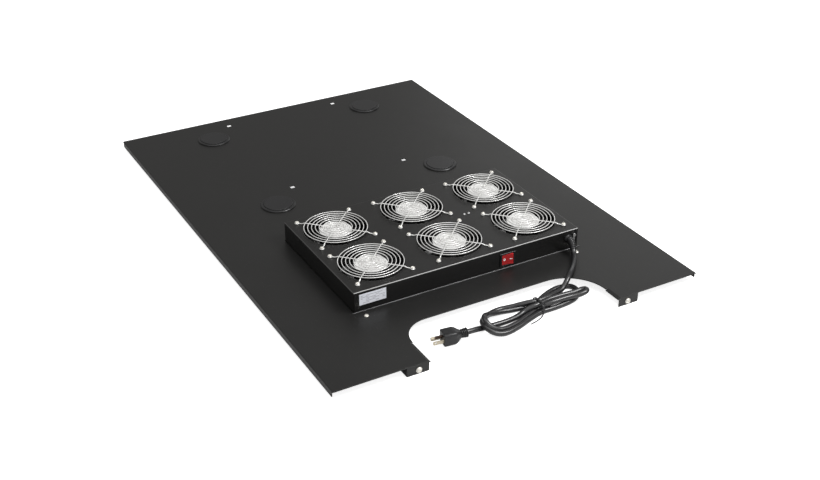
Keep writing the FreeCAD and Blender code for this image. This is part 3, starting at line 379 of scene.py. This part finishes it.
# ---------------------------------------------------------------- mains plug
# Moulded black plug with a straight-sided body, a finger groove down each side and a ribbed
# cord relief. It rests tipped a little, with its blades clear of the floor.
plug_black = finish("plug_plastic", (0.011, 0.011, 0.012), 0.36, mottle=0.3, patch=110, grain=1800,
                    depth=0.00002)
plug_turn = np.array(Matrix.Rotation(math.radians(-9), 3, "Z")
                     @ Matrix.Rotation(math.radians(-2), 3, "Y"))


def plug_rings(stations, sides=72):
    """Rings of the plug from its cord end to its face, in its own frame along -X.

    A station is (distance, half width, half height, squareness, groove depth). The ring is a
    superellipse: |y/w|^n + |z/h|^n = 1 with n the squareness, less a soft groove in each side.
    """
    groove_z, groove_half = 2.8, 1.25
    at, wide, tall, square, groove = [c[:, None] for c in np.asarray(stations, float).T]
    angle = np.linspace(0, 2 * np.pi, sides, endpoint=False)[None]
    y = wide * np.sign(np.cos(angle)) * np.abs(np.cos(angle)) ** (2 / square)
    z = tall * np.sign(np.sin(angle)) * np.abs(np.sin(angle)) ** (2 / square)
    hollow = groove * np.exp(-((z - groove_z) / groove_half) ** 4) * (np.abs(y) > 0.6 * wide)
    y = y - np.sign(y) * hollow
    return np.stack([-at + 0 * y, y, z], -1) * mm


stations = [(-0.2, 0, 0, 2, 0), (-0.2, 5, 5, 2, 0)]
for rib in range(4):
    start = rib * 2.9
    wide = 8.3 - 0.3 * rib
    neck = 6.8 - 0.2 * rib
    for further, half in ((0, wide - 0.7), (0.2, wide - 0.1), (1.5, wide), (1.7, wide - 0.5),
                          (1.9, neck), (2.7, neck)):
        stations.append((start + further, half, half, 2, 0))
stations += [(11.9, 7.0, 7.0, 2.2, 0), (12.4, 7.3, 7.3, 2.4, 0.1), (14, 8.1, 7.9, 2.8, 0.4),
             (16, 9.4, 8.8, 3.4, 0.8), (18, 10.7, 9.8, 3.9, 1.1), (20, 11.8, 10.8, 4.3, 1.3),
             (22, 12.4, 11.4, 4.6, 1.4), (24, 12.8, 11.8, 4.8, 1.4), (33, 12.8, 11.8, 5, 1.4),
             (41.6, 12.8, 11.8, 5, 1.4), (42.3, 12.7, 11.7, 5, 1.3), (42.8, 12.4, 11.4, 5, 1.1),
             (43, 12.0, 11.0, 5, 1.0), (43, 5, 4, 4, 0), (43, 0, 0, 4, 0)]
plug_place = np.array(plug_run[-1])
plug = skin("plug_shell", [plug_rings(stations) @ plug_turn.T + plug_place], plug_black,
            "roof_unit")
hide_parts("plug_body")

# Bare brass blades and the round earth pin, all three in the plug's node. The pin lies along
# the plug's middle plane, and a painted shade darkens it from the face up to its tip.
pin_half, pin_shade_from, pin_shade_to = 0.0035, 0.0555, 0.0585
brass = finish("contact_brass", (0.60, 0.54, 0.42), 0.34, metal=0.5, mottle=0.12, patch=150,
               grain=2500, depth=0.00001, edge=0.0003)
tree = brass.node_tree
spot = add_node(tree, "TexCoord").outputs["Object"]
sideways, forwards = plug_turn[:, 1], -plug_turn[:, 0]
across = add_node(tree, "VectorMath", {0: spot, 1: tuple(sideways)}, operation="DOT_PRODUCT")
off_middle = calc(tree, "ABSOLUTE", calc(tree, "SUBTRACT", across.outputs["Value"],
                                         float(sideways @ plug_place)))
ahead = add_node(tree, "VectorMath", {0: spot, 1: tuple(forwards)}, operation="DOT_PRODUCT")
plug_start = float(forwards @ plug_place)
near_face = ramp(tree, ahead.outputs["Value"], plug_start + pin_shade_to, plug_start + pin_shade_from)
on_pin = calc(tree, "LESS_THAN", off_middle, pin_half)
marked(brass, (0.035, 0.018, 0.010), calc(tree, "MULTIPLY", on_pin, near_face))
nodes["plug_contacts"].data.materials[0] = brass

# ---------------------------------------------------------------- roof panel
# Folded steel sheet with a black semi-gloss powder coat. The coat is a little uneven, and the
# bends and cut edges catch the light.
nodes["top_panel"].data.materials[0] = finish("panel_coat", (0.0080, 0.0079, 0.0076), 0.42,
                                             mottle=0.12, patch=9, grain=900, depth=0.00002,
                                             edge=0.0012, specks=0.25)

# ---------------------------------------------------------------- cable-hole plugs
# Four black nylon discs that close the round cable holes. Each is snapped in from above, and
# its rim lies on the sheet.
nodes["hole_plugs"].data.materials[0] = finish("plug_nylon", (0.010, 0.010, 0.011), 0.36,
                                              mottle=0.15, patch=30, grain=1200, depth=0.00002,
                                              edge=0.0006, specks=0.3)

# ---------------------------------------------------------------- fan housing
# Folded steel box that stands up through the panel and is screwed to it by its flange. It has
# the same powder coat, but glossier, with a painted highlight along its bends.
nodes["fan_housing"].data.materials[0] = finish("housing_coat", (0.0060, 0.0058, 0.0056), 0.36,
                                               mottle=0.15, patch=14, grain=900, depth=0.00002,
                                               edge=0.0018, specks=0.2, bend_highlight=0.42)

# ---------------------------------------------------------------- opening's rolled edge
# The panel's opening ends in a small rolled edge in front of the housing. Its pale grey colour
# is a painted highlight, and it shows as one thin pale line along the seam.
rolled = finish("rolled_edge_highlight", (0.13, 0.13, 0.135), 0.3, metal=0.2, mottle=0.35, patch=25,
                grain=900, depth=0.00001)
bead_r, bead_half = 0.0007, 0.2300
bead_y, bead_z = wall_y - 0.0012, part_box("top_panel")[1].z + 0.0004
bead_run = np.linspace((-bead_half, bead_y, bead_z), (bead_half, bead_y, bead_z), 120)
skin("opening_edge", [carried(bead_run, bead_r, bead_r, 16)], rolled, "roof_unit")

# ---------------------------------------------------------------- fans
# Six axial fans. Frames are die-cast and stove-enamelled black, rotors are black glass-filled
# nylon, and the stator stacks show dark varnished steel.
fan_enamel = finish("fan_enamel", (0.0015, 0.0015, 0.0015), 0.6, shine=0.2, mottle=0.25,
                    patch=60, grain=1600, depth=0.00003, edge=0.0004)
stator_varnish = finish("stator_varnish", (0.002, 0.0018, 0.0015), 0.6, shine=0.2, mottle=0.3,
                        patch=120, grain=900, depth=0.00004)
blade_nylon = finish("blade_nylon", (0.002, 0.002, 0.002), 0.55, shine=0.25, mottle=0.2, patch=60,
                     grain=1800, depth=0.00002, edge=0.0003)
shaft_steel = finish("shaft_steel", (0.55, 0.55, 0.56), 0.25, metal=1.0, mottle=0.1, patch=200,
                     grain=2500, depth=0.000005)
nodes["fan_bearings"].data.materials[0] = finish("bearing_steel", (0.45, 0.45, 0.46), 0.28,
                                                metal=1.0, mottle=0.1, patch=200, grain=2500,
                                                depth=0.000005)


def hub_foil(number, centre):
    """Silver foil disc: worn print in three grey rings round its centre, and soft mottling."""
    ring_pitch, print_reach, print_strength = 0.0072, 0.0225, 0.7
    made = finish(f"hub_foil_{number}", (0.74, 0.74, 0.73), 0.42, mottle=0.07, patch=130,
                  grain=1500, depth=0.000008)
    tree = made.node_tree
    spot = add_node(tree, "TexCoord").outputs["Object"]
    moved = add_node(tree, "Mapping", {"Vector": spot, "Location": (-centre.x, -centre.y, 0)})
    flat = add_node(tree, "VectorMath", {0: moved.outputs[0], 1: (1, 1, 0)}, operation="MULTIPLY")
    reach = add_node(tree, "VectorMath", {0: flat.outputs[0]}, operation="LENGTH").outputs["Value"]
    swing = calc(tree, "SINE", calc(tree, "MULTIPLY", reach, 2 * math.pi / ring_pitch))
    worn = add_node(tree, "TexNoise", {"Vector": moved.outputs[0], "Scale": 420.0, "Detail": 2.0})
    gaps = ramp(tree, worn.outputs["Fac"], 0.42, 0.58)
    mask = calc(tree, "MULTIPLY", ramp(tree, swing, 0.35, 0.75), gaps)
    mask = calc(tree, "MULTIPLY", mask, calc(tree, "LESS_THAN", reach, print_reach))
    marked(made, (0.30, 0.26, 0.26), calc(tree, "MULTIPLY", mask, print_strength))
    return made


fan_centres = []
for number in range(1, 7):
    low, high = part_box(f"fan_frame_{number}")
    fan_centres.append((low + high) / 2)
    nodes[f"fan_frame_{number}"].data.materials[0] = fan_enamel
    nodes[f"fan_stator_{number}"].data.materials[0] = stator_varnish
    nodes[f"fan_rotor_{number}"].data.materials[0] = blade_nylon
    nodes[f"fan_shaft_{number}"].data.materials[0] = shaft_steel
    nodes[f"fan_hub_label_{number}"].data.materials[0] = hub_foil(number, fan_centres[-1])

# ---------------------------------------------------------------- finger guards
# Bright chrome-plated wire. Eight rings are spot-welded on four arms, and each arm steps down
# and ends in an eye under its screw.


def hoops(centres, radii, wire, rows=97, sides=10):
    """Wire rings: (R + r cos v) round Z and r sin v above the centre, for every centre and R."""
    u = np.linspace(0, 2 * np.pi, rows)[:, None]
    v = np.linspace(0, 2 * np.pi, sides, endpoint=False)[None]
    reach = np.asarray(radii, float)[:, None, None] + wire * np.cos(v)
    shape = np.stack([reach * np.cos(u), reach * np.sin(u), wire * np.sin(v) + 0 * reach * u], -1)
    placed = np.asarray(centres, float)[:, None, None, None] + shape
    return placed.reshape(-1, rows, sides, 3)


guard_chrome = finish("guard_chrome", (0.92, 0.92, 0.90), 0.30, metal=0.45, mottle=0.10, patch=70,
                      grain=2500, depth=0.000004)
ring_wire, arm_wire, eye_r, eye_out = 0.00075, 0.0010, 0.0033, 0.0741
ring_height, eye_height = 0.005, 0.0011
guard_radii = (57 - 6.86 * np.arange(8)) * mm
housing_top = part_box("fan_housing")[1].z
middles = np.array([(c.x, c.y, housing_top) for c in fan_centres])
guard_rings = skin("guard_rings", hoops(middles + (0, 0, ring_height), guard_radii, ring_wire),
                   guard_chrome, "roof_unit")
quarter = np.pi / 4 + np.pi / 2 * np.arange(4)
corners = np.stack([np.cos(quarter), np.sin(quarter), 0 * quarter], 1)
eyes = (middles[:, None] + eye_out * corners + (0, 0, eye_height)).reshape(-1, 3)
skin("guard_eyes", hoops(eyes, [eye_r], arm_wire, rows=33), guard_chrome, "roof_unit")
# An arm runs 3.3 mm above the housing under the rings, and steps down softly to 1.1 mm where
# it has passed the outer ring.
reach = np.linspace(7, 70.9, 90)
arm_height = (1.1 + 2.2 * (0.5 - 0.5 * np.tanh((reach - 62.4) / 1.9))) * mm
arms = [carried(middle + (reach * mm)[:, None] * corner + arm_height[:, None] * (0, 0, 1),
                arm_wire, arm_wire, 12) for middle in middles for corner in corners]
skin("guard_arms", arms, guard_chrome, "roof_unit")
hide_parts(*[f"finger_guard_{number}" for number in range(1, 7)])

# ---------------------------------------------------------------- screws and nuts
# Chrome pan-head screws hold the guards, larger ones the housing, and two captive screws sit
# in the front tabs. All have a cross recess. Zinc-plated nuts hold the first two kinds.
screw_chrome = finish("screw_chrome", (0.88, 0.86, 0.80), 0.32, metal=0.7, mottle=0.08,
                      patch=300, grain=3000, depth=0.000004)
nut_zinc = finish("nut_zinc", (0.55, 0.56, 0.58), 0.35, metal=1.0, mottle=0.15, patch=200,
                  grain=1500, depth=0.00001, edge=0.0003)
nodes["guard_nuts"].data.materials[0] = nut_zinc
nodes["housing_nuts"].data.materials[0] = nut_zinc


def screw_grid(profile, head_r, places, turns, cross, axis="Z"):
    """Screws turned from a profile, one per place, with a cross recess sunk in the head.

    The profile is (radius, height) from the crown outwards. Inside head_r the height falls by
    the depth of the cross times a soft mask of two crossed bars, cross = (half width, half
    length, depth), and each screw's cross is turned by its own angle.
    """
    radius, height = (np.asarray(profile, float) * mm).T
    bar, reach, depth = np.asarray(cross, float) * mm
    angle = np.linspace(0, 2 * np.pi, 48, endpoint=False)
    x = radius[:, None] * np.cos(angle)
    y = radius[:, None] * np.sin(angle)
    crown = (np.arange(len(radius)) < np.argmax(radius > head_r * mm))[:, None]
    rings = []
    for place, spin in zip(places, turns):
        u = x * np.cos(spin) + y * np.sin(spin)
        v = y * np.cos(spin) - x * np.sin(spin)
        outside = np.minimum(np.maximum(np.abs(u) - bar, np.abs(v) - reach),
                             np.maximum(np.abs(v) - bar, np.abs(u) - reach))
        z = height[:, None] - depth * np.clip(0.5 - outside / (0.3 * mm), 0, 1) * crown
        shape = (x, -z, y) if axis == "-Y" else (x, y, z)
        rings.append(np.stack(shape, -1) + np.asarray(place, float))
    return np.array(rings)


def dome(reach, low, high, rings=13):
    """Points of a shallow crown from its top to its rim: the height falls with radius ^ 2.6."""
    return [(reach * p, high - (high - low) * p ** 2.6) for p in np.linspace(0, 1, rings)]


# A guard screw's head is 2.4 mm high and stands 52.4 mm out from its fan's centre both ways.
screw_out, seat = 0.0524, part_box("guard_screws")[1].z - 0.0024
spots = [(c.x + i * screw_out, c.y + j * screw_out, seat)
         for c in fan_centres for i in (-1, 1) for j in (-1, 1)]
angles = np.random.default_rng(7).uniform(0, np.pi / 2, len(spots))
small = dome(3.3, 1.5, 2.4) + [(3.6, 1.1), (3.7, 0.8), (3.7, 0.15), (3.55, 0), (1.9, 0),
                               (1.9, -12.6), (1.5, -13), (0, -13)]
guard_screws = skin("guard_screw_set", screw_grid(small, 3.0, spots, angles, (0.42, 2.0, 1.1)),
                    screw_chrome, "roof_unit")
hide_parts("guard_screws")

# A housing screw's head is 2.5 mm high and 8.4 mm wide.
low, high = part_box("housing_screws")
head_r, seat = 0.0042, high.z - 0.0025
spots = [(i * (high.x - head_r), y, seat)
         for i in (-1, 1) for y in (low.y + head_r, high.y - head_r)]
angles = np.random.default_rng(8).uniform(0, np.pi / 2, len(spots))
large = dome(3.7, 1.5, 2.5) + [(4.05, 1.1), (4.2, 0.7), (4.2, 0.15), (4.05, 0), (1.9, 0),
                               (1.9, -7.6), (1.5, -8), (0, -8)]
housing_screws = skin("housing_screw_set", screw_grid(large, 3.4, spots, angles, (0.5, 2.3, 1.3)),
                      screw_chrome, "roof_unit")
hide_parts("housing_screws")

# A captive screw's washer is 10.4 mm wide, and its head stands 3.5 mm out from the tab.
low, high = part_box("panel_screws")
washer_r, head_out = 0.0052, 0.0035
spots = [(i * (high.x - washer_r), low.y + head_out, low.z + washer_r) for i in (-1, 1)]
captive = dome(3.2, 2.9, 3.5) + [(3.6, 2.6), (4.1, 2.1), (4.3, 1.8), (4.3, 1.05), (5.0, 1.0),
                                 (5.2, 0.85), (5.2, 0.1), (5.1, 0), (2, 0), (2, -2), (2.5, -2.1),
                                 (2.5, -12), (2.1, -12.5), (0, -12.5)]
captives = screw_grid(captive, 3.1, spots, (0.3, 1.0), (0.45, 2.1, 1.3), "-Y")
panel_screws = skin("panel_screw_set", captives, screw_chrome, "roof_unit")
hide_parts("panel_screws")

# ---------------------------------------------------------------- rocker switch
# Black snap-in body and a red rocker with a soft gloss. A white ring stands on the end that
# switches off, and a white bar on the end that switches on.
nodes["switch_body"].data.materials[0] = finish("switch_plastic", (0.010, 0.010, 0.011), 0.3,
                                               mottle=0.15, patch=90, grain=1800,
                                               depth=0.00001, edge=0.0005)
nodes["switch_rocker"].data.materials[0] = finish("rocker_plastic", (0.42, 0.018, 0.020), 0.24,
                                                 mottle=0.15, patch=80, grain=1500,
                                                 depth=0.00001, edge=0.0006, coat=0.3)
mark_white = finish("mark_white", (0.90, 0.90, 0.89), 0.4, mottle=0.06, patch=300, grain=2000,
                    depth=0.000005)
low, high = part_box("switch_rocker")
pivot = Vector((0.075, -0.3248, (low.z + high.z) / 2))
lean = math.radians(-10)


def on_rocker(points):
    """Points of the rocker's frame (x along it, y out of its face), turned to where it rests."""
    x, y, z = np.moveaxis(np.asarray(points, float) * mm, -1, 0)
    return np.stack([pivot.x + x * math.cos(lean) - y * math.sin(lean),
                     pivot.y + x * math.sin(lean) + y * math.cos(lean), pivot.z + z], -1)


around = np.linspace(0, 2 * np.pi, 48, endpoint=False)
tube_turn = np.linspace(0, 2 * np.pi, 12)[:, None]
# The ring is a flat torus: 1.6 mm to its middle, 0.7 mm wide either side, 0.16 mm thick. It
# follows the face, which slopes away from the ring's middle.
ring_x = -6.1
ring_reach = 1.6 + 0.7 * np.cos(tube_turn)
ring = np.stack([ring_x + ring_reach * np.cos(around),
                 -5.28 - 0.16 * np.sin(tube_turn) + 0 * around, ring_reach * np.sin(around)], -1)
ring[..., 1] -= 0.065 * (np.abs(ring[..., 0]) + ring_x)
skin("off_mark", [on_rocker(ring)], mark_white, "rocker")
# The bar is a round-ended strip lying along the rocker.
bar_x = np.linspace(3.6, 8.6, 24)
bar_run = np.stack([bar_x, -5.23 - 0.0825 * (bar_x - 5), 0 * bar_x], 1)
skin("on_mark", [on_rocker(carried(bar_run, 0.12, 0.8, 16))], mark_white, "rocker")

# ---------------------------------------------------------------- cord clip, terminal block, rivets
# A bright plated strip is riveted beside the gland. The nylon block that joins the fans' leads
# hangs under the housing's top from two aluminium rivets.
nodes["cord_clip"].data.materials[0] = finish("clip_plating", (0.80, 0.80, 0.80), 0.28, metal=0.9,
                                             mottle=0.1, patch=150, grain=1800, depth=0.00001,
                                             edge=0.0004)
nodes["terminal_block"].data.materials[0] = finish("block_nylon", (0.62, 0.60, 0.52), 0.45,
                                                  mottle=0.08, patch=100, grain=1500,
                                                  depth=0.00002, edge=0.0004)
nodes["block_rivets"].data.materials[0] = finish("rivet_aluminium", (0.78, 0.78, 0.79), 0.3,
                                                metal=1.0, mottle=0.1, patch=250, grain=2500,
                                                depth=0.00001)

# ---------------------------------------------------------------- rating label
# Silver-white foil stuck on the front wall. It carries no lettering, only faint ruled bars
# where such a label has its table.
bar_pitch, bar_share, cell_wide, margin = 0.0027, 0.42, 0.0062, 0.0026
foil = finish("label_foil", (0.82, 0.84, 0.90), 0.42, mottle=0.05, patch=90, grain=1200,
              depth=0.00001)
low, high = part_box("rating_label")
tree = foil.node_tree
spot = add_node(tree, "TexCoord").outputs["Object"]
corner = add_node(tree, "Mapping", {"Vector": spot, "Location": (-low.x, 0, -low.z)})
part = add_node(tree, "SeparateXYZ", {0: corner.outputs[0]}).outputs
rows = calc(tree, "MULTIPLY", part[2], 1 / bar_pitch)
cells = calc(tree, "MULTIPLY", part[0], 1 / cell_wide)
key = add_node(tree, "CombineXYZ", {0: calc(tree, "FLOOR", cells), 1: calc(tree, "FLOOR", rows)})
chance = add_node(tree, "TexWhiteNoise", {"Vector": key.outputs[0]}, noise_dimensions="3D")
shown = calc(tree, "GREATER_THAN", chance.outputs["Value"], 0.45)
mask = calc(tree, "MULTIPLY", calc(tree, "LESS_THAN", calc(tree, "FRACT", rows), bar_share), shown)
for axis, reach in ((0, high.x - low.x), (2, high.z - low.z)):
    for sign, limit in ((1, margin), (-1, margin - reach)):
        inside = calc(tree, "GREATER_THAN", calc(tree, "MULTIPLY", part[axis], sign), limit)
        mask = calc(tree, "MULTIPLY", mask, inside)
marked(foil, (0.22, 0.22, 0.25), calc(tree, "MULTIPLY", mask, 0.55))
nodes["rating_label"].data.materials[0] = foil

# ---------------------------------------------------------------- floor, backdrop and light
# One seamless white floor, three large soft boxes, a small one for the highlights and a pale
# world.
floor_mesh = bpy.data.meshes.new("floor")
floor_mesh.from_pydata([(-15, -15, 0), (15, -15, 0), (15, 15, 0), (-15, 15, 0)], [], [(0, 1, 2, 3)])
floor = bpy.data.objects.new("floor", floor_mesh)
# The floor lies a little under the tabs' feet, so that no face shares its plane.
floor.location.z = -0.0004
bpy.context.scene.collection.objects.link(floor)
paper = bpy.data.materials.new("floor_paper")
paper.use_nodes = True
tree = paper.node_tree
tree.nodes.clear()
out = add_node(tree, "OutputMaterial")
matt = add_node(tree, "BsdfDiffuse", {"Color": (0.80, 0.80, 0.80, 1)})
seen = add_node(tree, "LightPath")
# The paper does not glow where it lies under the housing, because no light gets in there.
shade_middle, shade_half_x, shade_half_y, glow_level = (0, -0.155, 0), 0.26, 0.175, 0.80
spot = add_node(tree, "TexCoord").outputs["Object"]
moved = add_node(tree, "VectorMath", {0: spot, 1: shade_middle}, operation="SUBTRACT")
distance = add_node(tree, "VectorMath", {0: moved.outputs[0]}, operation="ABSOLUTE")
apart = add_node(tree, "SeparateXYZ", {0: distance.outputs[0]}).outputs
open_air = calc(tree, "MAXIMUM", calc(tree, "GREATER_THAN", apart[0], shade_half_x),
                calc(tree, "GREATER_THAN", apart[1], shade_half_y))
lit = calc(tree, "MULTIPLY", seen.outputs["Is Camera Ray"], open_air)
glow = add_node(tree, "Emission", {"Color": (1, 1, 1, 1),
                                   "Strength": calc(tree, "MULTIPLY", lit, glow_level)})
both = add_node(tree, "AddShader", {0: matt.outputs[0], 1: glow.outputs[0]})
tree.links.new(both.outputs[0], out.inputs["Surface"])
floor_mesh.materials.append(paper)

world = bpy.data.worlds.new("studio")
bpy.context.scene.world = world
world.use_nodes = True
tree = world.node_tree
tree.nodes.clear()
out = add_node(tree, "OutputWorld")
white = add_node(tree, "Background", {"Color": (1, 1, 1, 1), "Strength": 1.0})
room = add_node(tree, "Background", {"Color": (1.0, 0.99, 0.97, 1), "Strength": 0.33})
seen = add_node(tree, "LightPath")
pick = add_node(tree, "MixShader", {"Fac": seen.outputs["Is Camera Ray"], 1: room.outputs[0],
                                    2: white.outputs[0]})
tree.links.new(pick.outputs[0], out.inputs["Surface"])


def soft_box(name, place, aim, wide, tall, power):
    """An area lamp at place that faces aim: its size in metres and its power in watts."""
    lamp = bpy.data.lights.new(name, "AREA")
    lamp.shape = "RECTANGLE"
    lamp.size = wide
    lamp.size_y = tall
    lamp.energy = power
    holder = bpy.data.objects.new(name, lamp)
    facing = (Vector(aim) - Vector(place)).to_track_quat("-Z", "Y").to_matrix().to_4x4()
    holder.matrix_world = Matrix.Translation(place) @ facing
    bpy.context.scene.collection.objects.link(holder)


soft_box("top_box", (-0.5, -0.3, 2.6), (0, 0, 0), 2.4, 2.4, 22)
soft_box("back_box", (2.6, 2.0, 1.1), (0, 0, 0.1), 2.2, 1.3, 7)
soft_box("front_box", (-0.6, -2.8, 1.4), (0, 0, 0), 2.2, 1.4, 16)
soft_box("key_box", (0.97, -1.15, 1.75), (0, -0.2, 0), 0.8, 0.8, 34)

bpy.context.scene.view_settings.view_transform = "Standard"
